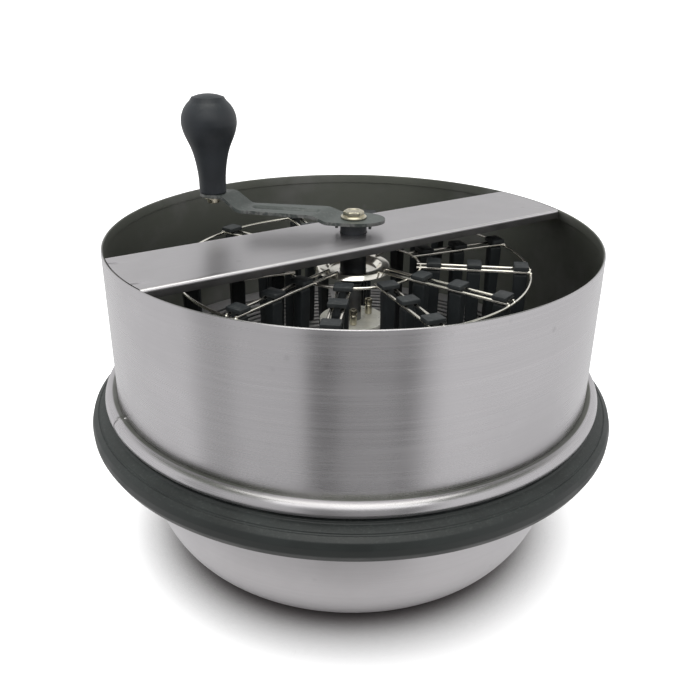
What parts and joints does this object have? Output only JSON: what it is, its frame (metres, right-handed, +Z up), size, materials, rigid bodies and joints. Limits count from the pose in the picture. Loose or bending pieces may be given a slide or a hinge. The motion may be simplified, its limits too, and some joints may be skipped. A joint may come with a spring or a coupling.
{
  "type": "hand-cranked bowl trimmer",
  "caption": "Hand-cranked bowl trimmer: a steel drum on a sealed bowl, a crank on a cross bar, a wire tumbler with flexible fingers and geared blades under a grate.",
  "frame": {"origin": "centre of the bowl's flat base, on the surface that the trimmer stands on", "axes": "+Z up along the crank's axis, +X along the cross bar"},
  "size_m": [0.452, 0.452, 0.384],
  "materials": {
    "brushed_steel": "fine brushed stainless sheet",
    "bright_steel": "bright polished wire and spun dish",
    "blade_steel": "ground blade steel",
    "cast_alloy": "machined casting",
    "zinc_plate": "yellowish zinc plate",
    "gear_steel": "oiled gear steel",
    "black_paint": "satin dark grey paint",
    "black_rubber": "moulded rubber",
    "finger_rubber": "soft moulded rubber",
    "black_plastic": "fine moulded texture"
  },
  "bodies": {
    "bowl": {"bowl": "brushed_steel", "rim_seal_ring": "black_rubber"},
    "drum": {"drum_wall": "brushed_steel", "cross_bar": "brushed_steel", "grate": "brushed_steel", "gearbox_housing": "cast_alloy", "gearbox_cover": "cast_alloy", "cover_screw_1": "zinc_plate", "cover_screw_2": "zinc_plate", "cover_screw_3": "zinc_plate"},
    "rotor": {"drive_sleeve": "black_plastic", "crank_arm": "black_paint", "crank_bolt": "zinc_plate", "grip_bolt": "zinc_plate", "tumbler_frame": "bright_steel", "planet_carrier": "gear_steel", "finger_01_1": "finger_rubber", "finger_01_2": "finger_rubber", "finger_01_3": "finger_rubber", "finger_02_1": "finger_rubber", "finger_02_2": "finger_rubber", "finger_02_3": "finger_rubber", "finger_03_1": "finger_rubber", "finger_03_2": "finger_rubber", "finger_03_3": "finger_rubber", "finger_04_1": "finger_rubber", "finger_04_2": "finger_rubber", "finger_04_3": "finger_rubber", "finger_05_1": "finger_rubber", "finger_05_2": "finger_rubber", "finger_05_3": "finger_rubber", "finger_06_1": "finger_rubber", "finger_06_2": "finger_rubber", "finger_06_3": "finger_rubber", "finger_07_1": "finger_rubber", "finger_07_2": "finger_rubber", "finger_07_3": "finger_rubber", "finger_08_1": "finger_rubber", "finger_08_2": "finger_rubber", "finger_08_3": "finger_rubber", "finger_09_1": "finger_rubber", "finger_09_2": "finger_rubber", "finger_09_3": "finger_rubber", "finger_10_1": "finger_rubber", "finger_10_2": "finger_rubber", "finger_10_3": "finger_rubber", "finger_11_1": "finger_rubber", "finger_11_2": "finger_rubber", "finger_11_3": "finger_rubber", "finger_12_1": "finger_rubber", "finger_12_2": "finger_rubber", "finger_12_3": "finger_rubber"},
    "grip": {"grip": "black_plastic"},
    "planet_1": {"planet_gear_1": "gear_steel"},
    "planet_2": {"planet_gear_2": "gear_steel"},
    "planet_3": {"planet_gear_3": "gear_steel"},
    "blades": {"blade_spindle": "gear_steel", "straight_blade": "blade_steel", "serrated_blade": "blade_steel", "blade_nut": "zinc_plate"}
  },
  "joints": [
    {"name": "drum_lift", "type": "slide", "parent": "bowl", "child": "drum", "axis": [0, 0, 1], "range_m": [0, 0.15]},
    {"name": "crank_turn", "type": "hinge", "parent": "drum", "child": "rotor", "pos_m": [0, 0, 0.276], "axis": [0, 0, 1], "continuous": true},
    {"name": "grip_turn", "type": "hinge", "parent": "rotor", "child": "grip", "pos_m": [-0.0922, 0.07203, 0.34], "axis": [0, 0, 1], "continuous": true},
    {"name": "blade_turn", "type": "hinge", "parent": "drum", "child": "blades", "pos_m": [0, 0, 0.15], "axis": [0, 0, 1], "continuous": true},
    {"name": "planet_1_turn", "type": "hinge", "parent": "rotor", "child": "planet_1", "pos_m": [0.015, 0, 0.16], "axis": [0, 0, 1], "continuous": true},
    {"name": "planet_2_turn", "type": "hinge", "parent": "rotor", "child": "planet_2", "pos_m": [-0.0075, 0.01299, 0.16], "axis": [0, 0, 1], "continuous": true},
    {"name": "planet_3_turn", "type": "hinge", "parent": "rotor", "child": "planet_3", "pos_m": [-0.0075, -0.01299, 0.16], "axis": [0, 0, 1], "continuous": true}
  ],
  "couplings": [
    {"joint": "blade_turn", "follows": "crank_turn", "ratio": 4},
    {"joint": "planet_1_turn", "follows": "crank_turn", "ratio": -3},
    {"joint": "planet_2_turn", "follows": "crank_turn", "ratio": -3},
    {"joint": "planet_3_turn", "follows": "crank_turn", "ratio": -3}
  ]
}
